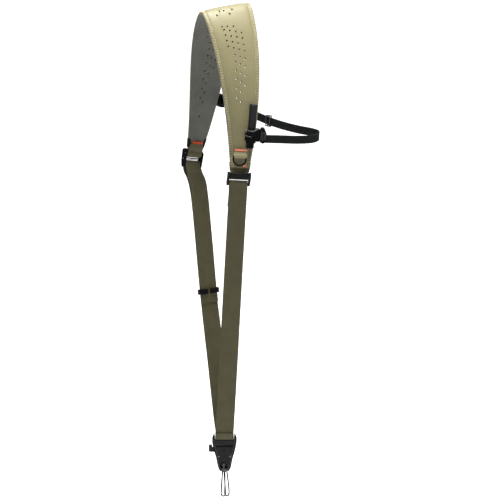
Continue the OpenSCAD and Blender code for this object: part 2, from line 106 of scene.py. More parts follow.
# ------------------------------------------------------------------ materials
class Mat:
    """Small helper to wire a Principled material."""

    def __init__(self, name):
        self.m = bpy.data.materials.new(name)
        self.m.use_nodes = True
        self.t = self.m.node_tree
        self.b = self.t.nodes["Principled BSDF"]
        self.out = self.t.nodes["Material Output"]

    def n(self, kind, **kw):
        node = self.t.nodes.new(kind)
        for k, v in kw.items():
            if k in ("operation", "blend_type", "data_type", "noise_dimensions", "wave_type", "bands_direction",
                     "feature", "distance", "uv_map", "attribute_name", "rings_direction", "wave_profile", "interpolation",
                     "voronoi_dimensions", "vector_type", "use_clamp", "clamp", "invert"):
                setattr(node, k, v)
            else:
                node.inputs[k].default_value = v
        return node

    def link(self, a, b):
        self.t.links.new(a, b)

    def math(self, op, a, b=None, c=None):
        node = self.t.nodes.new("ShaderNodeMath")
        node.operation = op
        for i, v in enumerate((a, b, c)):
            if v is None:
                continue
            if isinstance(v, (int, float)):
                node.inputs[i].default_value = v
            else:
                self.link(v, node.inputs[i])
        return node.outputs[0]

    def mix(self, fac, a, b):
        node = self.t.nodes.new("ShaderNodeMix")
        node.data_type = "RGBA"
        ins = [i for i in node.inputs if i.type == "RGBA"]
        f = [i for i in node.inputs if i.name == "Factor" and i.type == "VALUE"][0]
        for sock, v in ((f, fac), (ins[0], a), (ins[1], b)):
            if isinstance(v, (int, float)):
                sock.default_value = v
            elif isinstance(v, tuple):
                sock.default_value = v if len(v) == 4 else (*v, 1)
            else:
                self.link(v, sock)
        return [o for o in node.outputs if o.type == "RGBA"][0]

    def ramp(self, src, stops):
        node = self.t.nodes.new("ShaderNodeValToRGB")
        cr = node.color_ramp
        while len(cr.elements) < len(stops):
            cr.elements.new(0.5)
        for e, (p, c) in zip(cr.elements, stops):
            e.position = p
            e.color = (c, c, c, 1) if isinstance(c, (int, float)) else (*c, 1)
        self.link(src, node.inputs[0])
        return node.outputs[0]

    def obj_coord(self):
        return self.t.nodes.new("ShaderNodeTexCoord").outputs["Object"]

    def uv(self, name="weave"):
        node = self.t.nodes.new("ShaderNodeUVMap")
        node.uv_map = name
        return node.outputs[0]

    def noise(self, vec, scale, detail=4.0, rough=0.55, dist=0.0):
        node = self.n("ShaderNodeTexNoise", Scale=scale, Detail=detail, Roughness=rough, Distortion=dist)
        self.link(vec, node.inputs["Vector"])
        return node.outputs[0]

    def voronoi(self, vec, scale, feature="F1", rnd=1.0):
        node = self.n("ShaderNodeTexVoronoi", feature=feature, Scale=scale, Randomness=rnd)
        self.link(vec, node.inputs["Vector"])
        return node.outputs["Distance"]

    def xyz(self, vec):
        node = self.t.nodes.new("ShaderNodeSeparateXYZ")
        self.link(vec, node.inputs[0])
        return node.outputs

    def bump(self, height, strength, distance, prev=None):
        node = self.n("ShaderNodeBump", Strength=strength, Distance=distance)
        self.link(height, node.inputs["Height"])
        if prev is not None:
            self.link(prev, node.inputs["Normal"])
        return node.outputs[0]

    def done(self, color=None, rough=None, normal=None, **sockets):
        if color is not None:
            if isinstance(color, tuple):
                self.b.inputs["Base Color"].default_value = (*color, 1)
            else:
                self.link(color, self.b.inputs["Base Color"])
        if rough is not None:
            if isinstance(rough, (int, float)):
                self.b.inputs["Roughness"].default_value = rough
            else:
                self.link(rough, self.b.inputs["Roughness"])
        if normal is not None:
            self.link(normal, self.b.inputs["Normal"])
        for k, v in sockets.items():
            self.b.inputs[k.replace("_", " ")].default_value = v
        return self.m


def cover_material():
    m = Mat("cover_fabric")
    c = m.obj_coord()
    large = m.noise(c, 22, 3, 0.5)
    fine = m.noise(c, 900, 3, 0.6)
    grain = m.voronoi(c, 1500, "F1", 1.0)
    tone = m.ramp(large, [(0.3, (0.124, 0.111, 0.052)), (0.7, (0.148, 0.133, 0.064))])
    speck = m.ramp(fine, [(0.35, (0.110, 0.099, 0.045)), (0.65, (0.188, 0.171, 0.088))])
    col = m.mix(0.35, tone, speck)
    wear = m.ramp(m.noise(c, 75, 5, 0.7), [(0.55, 0.0), (0.8, 1.0)])
    col = m.mix(m.math("MULTIPLY", wear, 0.10), col, (0.27, 0.25, 0.17))
    rough = m.ramp(m.noise(c, 160, 3), [(0.3, 0.50), (0.7, 0.60)])
    nrm = m.bump(grain, 0.25, 0.00018)
    nrm = m.bump(m.noise(c, 140, 2), 0.12, 0.0006, nrm)
    return m.done(col, rough, nrm, Specular_IOR_Level=0.45, Sheen_Weight=0.12, Sheen_Roughness=0.45)


def lining_material():
    m = Mat("lining_knit")
    uv = m.uv()
    x, y, _ = m.xyz(uv)
    # knitted cells about 1.1 mm across
    a = m.math("SINE", m.math("MULTIPLY", x, 2 * math.pi / 0.0011))
    b = m.math("SINE", m.math("MULTIPLY", y, 2 * math.pi / 0.0016))
    cell = m.math("MULTIPLY", a, b)
    c = m.obj_coord()
    n = m.noise(c, 500, 3)
    tone = m.ramp(m.noise(c, 35, 3), [(0.3, (0.084, 0.084, 0.072)), (0.7, (0.106, 0.105, 0.090))])
    col = m.mix(m.math("MULTIPLY_ADD", cell, 0.20, 0.22), tone, (0.052, 0.052, 0.045))
    nrm = m.bump(cell, 0.30, 0.00022)
    nrm = m.bump(n, 0.15, 0.0002, nrm)
    return m.done(col, 0.85, nrm, Specular_IOR_Level=0.3, Sheen_Weight=0.25, Sheen_Roughness=0.5)


def webbing_material(name, dark, light, rib=0.0013, sheen=0.06, rough=0.6, spec=0.30, depth=0.00028):
    """Woven narrow webbing: chevron ribs along the strap, with single yarns across them."""
    m = Mat(name)
    uv = m.uv()
    x, y, _ = m.xyz(uv)
    # zigzag of the twill: ribs lean one way, then the other, in bands across the width
    band = m.math("PINGPONG", x, rib * 2)
    diag = m.math("ADD", y, m.math("MULTIPLY", band, 0.9))
    yarn = m.math("SINE", m.math("MULTIPLY", diag, 2 * math.pi / (rib * 0.9)))
    warp = m.math("SINE", m.math("MULTIPLY", x, 2 * math.pi / rib))
    h = m.math("ADD", m.math("MULTIPLY", yarn, 0.5), m.math("MULTIPLY", warp, 0.5))
    c = m.obj_coord()
    tone = m.ramp(m.noise(c, 60, 3), [(0.3, dark), (0.7, light)])
    fibre = m.noise(c, 2200, 2, 0.6)
    tone = m.mix(m.ramp(h, [(0.25, 0.45), (0.85, 0.0)]), tone, tuple(v * 0.55 for v in dark))
    tone = m.mix(m.math("MULTIPLY", fibre, 0.25), tone, tuple(min(1, v * 1.5) for v in light))
    nrm = m.bump(h, 0.45, depth)
    nrm = m.bump(fibre, 0.15, 0.0001, nrm)
    return m.done(tone, rough, nrm, Specular_IOR_Level=spec, IOR=1.3, Sheen_Weight=sheen, Sheen_Roughness=0.4)


def plastic_material(name, base, light, rough=(0.30, 0.42), grain=1800, bump=0.12, spec=0.12):
    m = Mat(name)
    c = m.obj_coord()
    col = m.ramp(m.noise(c, 180, 4), [(0.3, base), (0.75, light)])
    scuff = m.ramp(m.noise(c, 420, 6, 0.75, 0.4), [(0.62, 0.0), (0.72, 1.0)])
    col = m.mix(m.math("MULTIPLY", scuff, 0.18), col, tuple(min(1, v * 2.4 + 0.01) for v in light))
    r = m.ramp(m.noise(c, 260, 3), [(0.3, rough[0]), (0.7, rough[1])])
    nrm = m.bump(m.voronoi(c, grain, "F1"), bump, 0.00008)
    nrm = m.bump(m.noise(c, 300, 2), 0.05, 0.0002, nrm)
    return m.done(col, r, nrm, Specular_IOR_Level=spec, IOR=1.28)


def steel_material(name, base, rough=0.16, streak=0.08):
    m = Mat(name)
    uvc = m.obj_coord()
    n = m.noise(uvc, 700, 4, 0.6)
    n2 = m.noise(uvc, 90, 3)
    col = m.ramp(n2, [(0.3, tuple(v * 0.9 for v in base)), (0.7, base)])
    r = m.math("MULTIPLY_ADD", n, streak, rough)
    nrm = m.bump(n, 0.04, 0.00005)
    return m.done(col, r, nrm, Metallic=1.0)


def thread_material(name, dark, light, pitch=0.00045):
    m = Mat(name)
    c = m.obj_coord()
    x, y, z = m.xyz(c)
    tw = m.math("SINE", m.math("MULTIPLY", m.math("ADD", m.math("ADD", x, y), z), 2 * math.pi / pitch))
    col = m.ramp(tw, [(0.2, dark), (0.8, light)])
    nrm = m.bump(tw, 0.3, 0.00006)
    return m.done(col, 0.5, nrm, Sheen_Weight=0.4, Sheen_Roughness=0.4)


def cord_material():
    m = Mat("braided_cord")
    uv = m.uv()
    x, y, _ = m.xyz(uv)
    a = m.math("SINE", m.math("ADD", m.math("MULTIPLY", x, 2 * math.pi * 6), m.math("MULTIPLY", y, 2 * math.pi / 0.0012)))
    b = m.math("SINE", m.math("SUBTRACT", m.math("MULTIPLY", x, 2 * math.pi * 6), m.math("MULTIPLY", y, 2 * math.pi / 0.0012)))
    h = m.math("MAXIMUM", a, b)
    col = m.ramp(h, [(0.1, (0.003, 0.003, 0.0035)), (0.9, (0.012, 0.012, 0.013))])
    nrm = m.bump(h, 0.5, 0.00016)
    return m.done(col, 0.6, nrm, Specular_IOR_Level=0.15, IOR=1.25)


def foam_and_hole_shade_material():
    m = Mat("foam_core_and_hole_shade")
    c = m.obj_coord()
    # near-black cells: the foam's dark colour, also darkened as painted shade deep inside the perforations
    v = m.voronoi(c, 2600, "F1")
    col = m.ramp(v, [(0.1, (0.005, 0.005, 0.0045)), (0.6, (0.014, 0.014, 0.012))])
    return m.done(col, 0.9, m.bump(v, 0.4, 0.0001))


M_COVER = cover_material()
M_LINING = lining_material()
M_FOAM_AND_HOLE_SHADE = foam_and_hole_shade_material()
M_WEB = webbing_material("leg_webbing", (0.066, 0.059, 0.031), (0.086, 0.078, 0.042))
M_TAB = webbing_material("tab_webbing", (0.215, 0.200, 0.110), (0.270, 0.255, 0.150))
M_STAB = webbing_material("stabilizer_webbing", (0.0055, 0.006, 0.0065), (0.010, 0.0108, 0.0115), rib=0.0010, sheen=0.0, spec=0.16)
M_PLASTIC = plastic_material("moulded_plastic", (0.0026, 0.0026, 0.0031), (0.0048, 0.0048, 0.0056))
M_RAIL = plastic_material("rail_plastic", (0.012, 0.0125, 0.0135), (0.019, 0.0195, 0.021), rough=(0.30, 0.40), spec=0.30)
M_CONN = plastic_material("connector_plastic", (0.009, 0.009, 0.0098), (0.016, 0.016, 0.0175), rough=(0.40, 0.52), grain=1500, bump=0.2, spec=0.30)
M_ANCHOR = plastic_material("anchor_plastic", (0.075, 0.078, 0.083), (0.120, 0.124, 0.130), rough=(0.3, 0.4))
M_STEEL = steel_material("polished_steel", (0.50, 0.50, 0.51))
M_PIN = steel_material("blackened_steel", (0.12, 0.12, 0.125), 0.35)
M_ORANGE = thread_material("orange_thread", (0.85, 0.11, 0.025), (1.0, 0.24, 0.06))
M_OLIVE_THREAD = thread_material("olive_thread", (0.30, 0.28, 0.17), (0.44, 0.42, 0.28))
M_DARK_THREAD = thread_material("dark_thread", (0.035, 0.034, 0.022), (0.075, 0.072, 0.048))
M_CORD = cord_material()
# lighter grey plastic used only as painted highlight: lit rims, rib glints and edge lines on the black parts
M_PAINTED_HIGHLIGHT = plastic_material("painted_highlight_plastic", (0.040, 0.041, 0.044), (0.065, 0.067, 0.071), rough=(0.35, 0.45), spec=0.35)
# a lighter copy of the leg webbing: painted highlight for the lit curve of the wrap at the connector
M_WEB_HIGHLIGHT = webbing_material("webbing_painted_highlight", (0.080, 0.073, 0.042), (0.105, 0.097, 0.058))
M_PATCH = webbing_material("end_patch_fabric", (0.006, 0.006, 0.006), (0.011, 0.011, 0.011), rib=0.0009, sheen=0.0, spec=0.15)


# ------------------------------------------------------------------ mesh helpers
def smooth(me, angle=40):
    for p in me.polygons:
        p.use_smooth = True
    me.set_sharp_from_angle(angle=math.radians(angle))


def new_object(name, verts, faces, mat, uvs=None, angle=40):
    me = bpy.data.meshes.new(name)
    me.from_pydata([tuple(map(float, v)) for v in verts], [], [tuple(map(int, f)) for f in faces])
    me.validate()
    if uvs is not None:
        layer = me.uv_layers.new(name="weave")
        idx = np.empty(len(me.loops), np.int32)
        me.loops.foreach_get("vertex_index", idx)
        layer.data.foreach_set("uv", np.asarray(uvs, np.float32)[idx].ravel())
    me.materials.append(mat)
    bm = bmesh.new()
    bm.from_mesh(me)
    bmesh.ops.recalc_face_normals(bm, faces=bm.faces)
    bm.to_mesh(me)
    bm.free()
    smooth(me, angle)
    ob = bpy.data.objects.new(name, me)
    bpy.context.scene.collection.objects.link(ob)
    return ob


def catmull(pts, step):
    """Points at even spacing along a smooth line through pts."""
    p = [np.array(q, float) for q in pts]
    p = [2 * p[0] - p[1]] + p + [2 * p[-1] - p[-2]]
    out = []
    for i in range(1, len(p) - 2):
        a, b, c, d = p[i - 1], p[i], p[i + 1], p[i + 2]
        ta, tb = 0.0, np.linalg.norm(b - a) ** 0.5
        tc = tb + np.linalg.norm(c - b) ** 0.5
        td = tc + np.linalg.norm(d - c) ** 0.5
        n = max(2, int(np.linalg.norm(c - b) / step) * 3)
        for k in range(n):
            t = tb + (tc - tb) * k / n
            a1 = (tb - t) / (tb - ta) * a + (t - ta) / (tb - ta) * b
            a2 = (tc - t) / (tc - tb) * b + (t - tb) / (tc - tb) * c
            a3 = (td - t) / (td - tc) * c + (t - tc) / (td - tc) * d
            b1 = (tc - t) / (tc - ta) * a1 + (t - ta) / (tc - ta) * a2
            b2 = (td - t) / (td - tb) * a2 + (t - tb) / (td - tb) * a3
            out.append((tc - t) / (tc - tb) * b1 + (t - tb) / (tc - tb) * b2)
    out.append(p[-2])
    out = np.array(out)
    seg = np.r_[0, np.cumsum(np.linalg.norm(np.diff(out, axis=0), axis=1))]
    m = max(2, int(round(seg[-1] / step)) + 1)
    want = np.linspace(0, seg[-1], m)
    return np.stack([np.interp(want, seg, out[:, k]) for k in range(out.shape[1])], 1)


def unit(v):
    v = np.asarray(v, float)
    return v / np.linalg.norm(v)


def path_frames(pts, wdirs):
    n = len(pts)
    t = np.array([unit(pts[min(n - 1, i + 1)] - pts[max(0, i - 1)]) for i in range(n)])
    w = np.array([unit(np.asarray(wdirs[i]) - t[i] * np.dot(wdirs[i], t[i])) for i in range(n)])
    return t, w, np.cross(w, t)


def strap(name, ctrl, width, thick, mat, step=1.6, wave=0.0, edge=0.0, cols=9, end_round=True):
    """A flat webbing strap through control rows (x, y, z, wx, wy, wz) in mm, with rounded selvages and flat-capped
    ends.
    """
    data = catmull(ctrl, step)
    pts, wd = data[:, :3], data[:, 3:6]
    fac = data[:, 6] if data.shape[1] > 6 else np.ones(len(data))
    t, w, nrm = path_frames(pts, wd)
    n = len(pts)
    hw, ht = width / 2, thick / 2
    prof = []
    for k in range(cols):
        u = -hw + ht + (width - 2 * ht) * k / (cols - 1)
        # a thicker selvage at each edge of the weave
        f = 1 + edge * max(0.0, 1 - (hw - abs(u)) / (2.2 * thick))
        prof.append((u, ht * f))
    side = [(hw - ht + ht * math.sin(a), ht * math.cos(a)) for a in (math.pi * q / 5 for q in range(1, 5))]
    top = prof
    bot = [(u, -h) for u, h in reversed(prof)]
    lside = [(-u, -h) for u, h in side]
    ring = top + side + bot + lside
    m = len(ring)
    V, UV = [], []
    seg = np.r_[0, np.cumsum(np.linalg.norm(np.diff(pts, axis=0), axis=1))]
    for i in range(n):
        ph = seg[i] * 0.11
        for (u, h) in ring:
            dz = wave * math.sin(ph + u * 0.22) * math.sin(math.pi * min(1, max(0, i / (n - 1))))
            V.append((pts[i] + w[i] * u * fac[i] + nrm[i] * (h + dz)) * MM)
            UV.append((u * fac[i] * MM, seg[i] * MM + (0.4 if h < 0 else 0)))
    F = [(i * m + j, i * m + (j + 1) % m, (i + 1) * m + (j + 1) % m, (i + 1) * m + j) for i in range(n - 1) for j in range(m)]
    F.append(tuple(range(m)))
    F.append(tuple((n - 1) * m + j for j in reversed(range(m))))
    return new_object(name, V, F, mat, UV, 50)


def tube(name, pts, radius, mat, sides=10, slot=None, closed=False, uv=True):
    """A round cord through pts (mm)."""
    pts = np.asarray(pts, float)
    n = len(pts)
    t = np.array([unit(pts[min(n - 1, i + 1)] - pts[max(0, i - 1)]) for i in range(n)])
    ref = np.array([0.1, 1, 0.2])
    a = unit(ref - t[0] * np.dot(ref, t[0]))
    V, UV = [], []
    L = 0.0
    for i in range(n):
        a = unit(a - t[i] * np.dot(a, t[i]))
        b = np.cross(t[i], a)
        if i:
            L += np.linalg.norm(pts[i] - pts[i - 1])
        for j in range(sides):
            q = 2 * math.pi * j / sides
            V.append((pts[i] + (a * math.cos(q) + b * math.sin(q)) * radius) * MM)
            UV.append((abs(2.0 * j / sides - 1), L * MM))
    F = [(i * sides + j, i * sides + (j + 1) % sides, (i + 1) * sides + (j + 1) % sides, (i + 1) * sides + j)
         for i in range(n - 1) for j in range(sides)]
    F.append(tuple(reversed(range(sides))))
    F.append(tuple((n - 1) * sides + j for j in range(sides)))
    return V, F, UV


def threads(name, runs, radius, mat, sides=6, step=None):
    """Many short threads (each a list of mm points) as one object."""
    V, F = [], []
    for r in runs:
        v, f, _ = tube("", r, radius, mat, sides)
        o = len(V)
        V += v
        F += [tuple(i + o for i in q) for q in f]
    return new_object(name, V, F, mat, None, 60)


# ------------------------------------------------------------------ the pad's surface
PAD_HALF, PAD_W, PAD_END = 225.0, 71.0, 25.0
RIDGE = math.radians(24)
NH = 26


def _stations():
    s = [PAD_HALF * (i / NH) ** 1.45 for i in range(NH + 1)]
    bend = lambda q: math.radians(43 * (1 - math.exp(-q / 5)) + 44 * (1 - math.exp(-q / 85)))
    arc = [(0.0, 0.0)]
    for i in range(NH):
        d, a = s[i + 1] - s[i], bend((s[i + 1] + s[i]) / 2)
        arc.append((arc[-1][0] + d * math.cos(a), arc[-1][1] - d * math.sin(a)))
    out = []
    for k in range(2 * NH + 1):
        side, i = (-1 if k < NH else 1), abs(k - NH)
        out.append((side * s[i], pad_raw(side * s[i], arc[i])))
    return out


def pad_w_raw(s):
    q = abs(s) / PAD_HALF
    az = math.radians(24 - 19 * q if s < 0 else 24 + 5 * q)
    tl = math.radians(4.4 * math.exp(-abs(s) / 40))
    return np.array([math.cos(az) * math.cos(tl), math.sin(az) * math.cos(tl), math.sin(tl)])


def pad_raw(s, uz):
    side = -1 if s < 0 else 1
    q = abs(s) / PAD_HALF
    shift = -10.5 * q ** 2.6 if s < 0 else -12.5 * q ** 3.5
    return np.array([-math.sin(RIDGE) * uz[0] * side, math.cos(RIDGE) * uz[0] * side, uz[1]]) + pad_w_raw(s) * shift


def pad_half_width(s):
    q = np.minimum(np.abs(s) / PAD_HALF, 1.0)
    return (PAD_W - (PAD_W - PAD_END) * q ** np.where(s < 0, 1.25, 1.4)) / 2


_st = _stations()
_ss = np.array([a for a, _ in _st])
_sc = np.array([b for _, b in _st])
# Smooth curve through the stations, tabulated every 0.5 mm
_fine = catmull([list(c) + [s] for s, c in _st], 0.5)
_fs = _fine[:, 3].copy()
_order = np.argsort(_fs)
_fs, _fc = _fs[_order], _fine[_order, :3]
_ft = np.gradient(_fc, _fs, axis=0)
_ft /= np.linalg.norm(_ft, axis=1)[:, None]
_fw = np.array([pad_w_raw(s) for s in _fs])
_fw -= _ft * np.sum(_fw * _ft, 1)[:, None]
_fw /= np.linalg.norm(_fw, axis=1)[:, None]
_fn = np.cross(_fw, _ft)


def pad_at(s):
    """Centre, across, along and outward directions of the pad at arc length s (mm)."""
    f = lambda a: np.stack([np.interp(s, _fs, a[:, k]) for k in range(3)], -1)
    return f(_fc), f(_fw), f(_ft), f(_fn)


def pad_points(s, x, h):
    c, w, t, n = pad_at(np.asarray(s, float))
    return c + w * np.asarray(x)[..., None] + n * np.asarray(h)[..., None]


# ---- perforation pattern: slanted rows that close in and thin out towards the ends
def hole_list():
    rows = [37, 44.5, 53, 61.5, 71, 81, 92.5, 104.5, 117.5, 131, 145.5, 159.5]
    out = []
    for side in (-1, 1):
        for s in rows:
            if side < 0 and s > 132:
                continue
            c0 = 2.6 - 0.055 * max(0.0, s - 65)
            sp = max(4.4, 7.8 - 0.03 * (s - 40))
            slant = 2.2 + 0.04 * max(0.0, s - 45)
            cols = (-2, -1, 0, 1) if s < 66 else (-1, 0, 1) if s < 112 else (-1, 0)
            for j in cols:
                out.append((side * (s + j * slant), c0 + j * sp))
        out += [(side * 28.0, -15.0), (side * 28.5, -7.5), (side * 29.5, 0.8)]
        out += [(side * 6.0, -12.0), (side * 6.0, -6.0), (side * 6.0, 6.2), (side * 11.5, 0.4), (side * 11.5, -17.6)]
        out += [(side * 20.0, 9.0), (side * 20.0, -3.2)] if side > 0 else []
    out.append((180.0, -4.3))
    return out


HOLES = hole_list()


def pad_grid(inset, edge_cols, step_s, step_x, hole_r, rim_r):
    """Triangulated (s, x) sheet of the pad with its holes. Returns vertices, triangles and the kind of each vertex."""
    pts, kind = [], []
    H = np.array(HOLES)
    srows = []
    s = -PAD_HALF
    while s < PAD_HALF:
        srows.append(s)
        s += step_s if abs(s) > 14 else step_s * 0.5
    srows.append(PAD_HALF)
    for s in srows:
        hw = float(pad_half_width(np.array(s))) - inset
        xs = set()
        for e in edge_cols:
            xs.add(round(hw - e, 4))
            xs.add(round(-(hw - e), 4))
        lim = hw - edge_cols[-1] - 1.2
        k = int(lim / step_x)
        for j in range(-k, k + 1):
            xs.add(round(j * lim / max(k, 1), 4))
        for x in sorted(xs):
            d = np.hypot(H[:, 0] - s, H[:, 1] - x).min()
            if d > rim_r + 0.7:
                pts.append((s, x))
                kind.append(0)
    n_seg = 14
    for (hs, hx) in HOLES:
        for r, kd in ((hole_r, 2), (rim_r, 1)):
            for j in range(n_seg):
                a = 2 * math.pi * (j + (0.5 if kd == 1 else 0)) / n_seg
                pts.append((hs + r * math.cos(a), hx + r * math.sin(a)))
                kind.append(kd)
    v2, e2, f2, *_ = delaunay_2d_cdt([Vector(p) for p in pts], [], [], 0, 1e-5)
    v = np.array([(p[0], p[1]) for p in v2])
    tri = []
    for f in f2:
        c = v[list(f)].mean(0)
        if np.hypot(H[:, 0] - c[0], H[:, 1] - c[1]).min() < hole_r * 0.96:
            continue
        tri.append(tuple(f))
    # kinds again, because the triangulation may reorder points
    d = np.hypot(H[:, 0][None] - v[:, 0][:, None], H[:, 1][None] - v[:, 1][:, None]).min(1)
    return v, tri, d


def pad_solid(name, mat, inset, edge_cols, top, bottom, hole_r, rim_r, step_s=3.0, step_x=3.4, angle=38):
    v, tri, d = pad_grid(inset, edge_cols, step_s, step_x, hole_r, rim_r)
    hw = pad_half_width(v[:, 0]) - inset
    e = hw - np.abs(v[:, 1])
    hole = np.clip((d - hole_r) / (rim_r - hole_r), 0, 1)
    ht = top(e, v[:, 0], v[:, 1], hole)
    hb = bottom(e, v[:, 0], v[:, 1], hole)
    A = pad_points(v[:, 0], v[:, 1], ht)
    B = pad_points(v[:, 0], v[:, 1], hb)
    n = len(v)
    used = np.zeros(n, bool)
    for f in tri:
        used[list(f)] = True
    count = {}
    for f in tri:
        for i in range(3):
            k = (f[i], f[(i + 1) % 3])
            count[k] = count.get(k, 0) + 1
    faces = [tuple(f) for f in tri] + [tuple(n + i for i in reversed(f)) for f in tri]
    for (a, b) in list(count):
        if (b, a) not in count:
            faces.append((b, a, a + n, b + n))
    V = np.vstack([A, B]) * MM
    UV = np.vstack([v[:, ::-1] * MM, v[:, ::-1] * MM])
    ob = new_object(name, V, faces, mat, UV, angle)
    return ob


def sm(a, b, x):
    t = np.clip((x - a) / (b - a), 0, 1)
    return t * t * (3 - 2 * t)


def undulate(s, x):
    return 0.10 * np.sin(s * 0.083 + 1.3) * np.cos(x * 0.11) + 0.06 * np.sin(s * 0.19 + x * 0.07)


def pad_top(e, s, x, hole):
    """Outer height: a flat stitched hem along each edge, a seam groove, then the padded middle."""
    h = 2.55 + 1.15 * sm(0.0, 1.0, e) + 0.10 * sm(1.2, 2.4, e)
    h = h - 0.62 * np.exp(-((e - 4.9) / 0.42) ** 2)
    h = h + 1.15 * sm(5.0, 11.0, e) + 0.35 * sm(10.0, 24.0, e) + undulate(s, x) * sm(5, 12, e)
    end = sm(0.0, 24.0, PAD_HALF - np.abs(s))
    h = 3.4 + (h - 3.4) * (0.12 + 0.88 * end)
    return h - 0.30 * (1 - hole) ** 1.5


def pad_cover_bottom(e, s, x, hole):
    return np.where(e < 1.25, 0.95, pad_top(e, s, x, np.ones_like(hole)) - 1.0)


def pad_lining_top(e, s, x, hole):
    return np.full_like(e, 0.92)


def pad_lining_bottom(e, s, x, hole):
    h = 0.30 * (1 - sm(0, 1.5, e)) + 0.18 * np.exp(-((e - 4.6) / 0.5) ** 2) - 0.10 * sm(5, 14, e)
    return h + 0.25 * (1 - hole) ** 1.5


def core_top(e, s, x, hole):
    return pad_top(e + 1.3, s, x, np.ones_like(hole)) - 1.03


def core_bottom(e, s, x, hole):
    return np.full_like(e, 0.95)


EDGE = [0.0, 0.3, 0.8, 1.2, 1.3, 2.2, 3.4, 4.2, 4.6, 4.9, 5.2, 5.7, 6.8, 8.4]
cover = pad_solid("pad_cover_skin", M_COVER, 0.0, EDGE, pad_top, pad_cover_bottom, 1.15, 1.55)
lining = pad_solid("pad_lining_skin", M_LINING, 0.35, [0.0, 0.5, 1.5, 3.6, 4.2, 4.6, 5.0, 5.6, 8.0], pad_lining_top, pad_lining_bottom, 1.05, 1.45)
core = pad_solid("pad_core", M_FOAM_AND_HOLE_SHADE, 1.5, [0.0, 1.0, 3.0, 6.0], core_top, core_bottom, 1.12, 1.6, 5.0, 5.0)
for ob, node in ((cover, "pad_cover"), (lining, "pad_lining"), (core, "pad_foam")):
    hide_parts(node)
    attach(ob, "harness")


# hem stitches: slanted whip stitches across the hem, and a lockstitch along the seam
def hem_stitches():
    whip, lock = [], []
    for sgn in (-1, 1):
        s = -218.0
        k = 0
        while s < 218:
            hw = float(pad_half_width(np.array(s)))
            run = []
            for q, e in enumerate((0.55, 1.2, 2.1, 3.0, 3.7)):
                ss = s + 0.55 * q * (1 if k % 2 else -1) * 0.55
                x = sgn * (hw - e)
                z = float(pad_top(np.array([e]), np.array([ss]), np.array([x]), np.array([1.0]))[0])
                run.append(pad_points([ss], [x], [z + 0.10 - (0.22 if q in (0, 4) else 0)])[0])
            whip.append(run)
            s += 1.9
            k += 1
        s = -219.0
        while s < 219:
            hw = float(pad_half_width(np.array(s)))
            run = []
            for q in range(4):
                ss = s + 0.75 * q
                e = 4.9
                x = sgn * (float(pad_half_width(np.array(ss))) - e)
                z = float(pad_top(np.array([e]), np.array([ss]), np.array([x]), np.array([1.0]))[0])
                run.append(pad_points([ss], [x], [z + 0.13 - (0.25 if q in (0, 3) else 0)])[0])
            lock.append(run)
            s += 3.1
    return whip, lock


whip, lock = hem_stitches()
o = threads("hem_whip_stitches", whip, 0.16, M_OLIVE_THREAD)
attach(o, "harness")
o = threads("hem_seam_stitches", lock, 0.20, M_OLIVE_THREAD)
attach(o, "harness")


# ------------------------------------------------------------------ floor
def floor_disc():
    m = Mat("studio_floor")
    c = m.obj_coord()
    n = m.noise(c, 3.0, 3)
    col = m.ramp(n, [(0.2, (0.40, 0.40, 0.40)), (0.8, (0.44, 0.44, 0.44))])
    mat = m.done(col, 0.9, m.bump(m.noise(c, 60, 2), 0.02, 0.001))
    m.b.inputs["Emission Color"].default_value = (1, 1, 1, 1)
    m.b.inputs["Emission Strength"].default_value = 0.93
    k, rings = 64, [0.3, 1.0, 3.0, 12.0]
    V, F = [(0, 0, -0.75)], []
    for r in rings:
        V += [(r * math.cos(2 * math.pi * i / k), r * math.sin(2 * math.pi * i / k), -0.75) for i in range(k)]
    F += [(0, 1 + i, 1 + (i + 1) % k) for i in range(k)]
    for q in range(len(rings) - 1):
        a, b = 1 + q * k, 1 + (q + 1) * k
        F += [(a + i, b + i, b + (i + 1) % k, a + (i + 1) % k) for i in range(k)]
    ob = new_object("floor", V, F, mat)


floor_disc()


# ------------------------------------------------------------------ webbing
def row(p, w, f=1.0):
    return [*p, *w, f]


def bar_wrap(centre, axis, out, leg_dir, r, turn=0.0, lift=0.0):
    """Points over the top of a bar, from its inner side to its outer side, where the leg leaves along leg_dir."""
    axis, out = unit(axis), unit(out)
    up = unit(np.cross(axis, out))
    up = up if up[2] > 0 else -up
    d = unit(leg_dir)
    do, du = np.dot(d, out), np.dot(d, up)
    a_end = math.atan2(do, -du)
    pts = []
    for k in range(9):
        a = math.pi - turn + (a_end - (math.pi - turn)) * k / 8
        pts.append(np.array(centre) + (out * math.cos(a) + up * math.sin(a)) * r + up * lift * max(0.0, math.sin(a)) ** 0.8 - out * lift * 0.12 * max(0.0, math.sin(a)))
    return pts


A3 = np.array
# front leg: free end inside, over the adjuster's lower bar, down to the connector and round its crossbar
F_AX, F_LOW = A3([0.9941, 0.0802, -0.0733]), A3([16.95, -62.05, -225.36])
F_OUT = A3([0.19, -4.66, -2.51])
rows = [row([14.9, -57.6, -258.0], [1, .085, .05]), row([15.9, -59.4, -248.0], [1, .085, .05]),
        row([16.6, -60.2, -239.0], [1, .09, .02]), row([16.8, -59.6, -231.0], [1, .09, -.02])]
for p in bar_wrap(F_LOW, F_AX, F_OUT, [-3.2, 9.8, -58], 2.62, 0.0, 3.9):
    rows.append(row(p, F_AX))
rows += [row([17.2, -63.8, -231.8], [1, .09, .0]), row([15.9, -59.9, -255], [1, .08, .04]), row([14, -54, -290], [1, .08, .05]),
         row([8.8, -37, -390], [1, .06, .05]), row([3.8, -20.4, -490], [1, .03, .05]), row([-0.9, -5.2, -578], [1, 0, .04]),
         row([-1.5, -3.5, -590], [1, 0, .01]), row([-1.5, -3.35, -597], [1, 0, 0])]
for k in range(7):
    a = math.pi * k / 6
    rows.append(row([-1.5, -3.32 * math.cos(a), -601 - 3.32 * math.sin(a)], [1, 0, 0]))
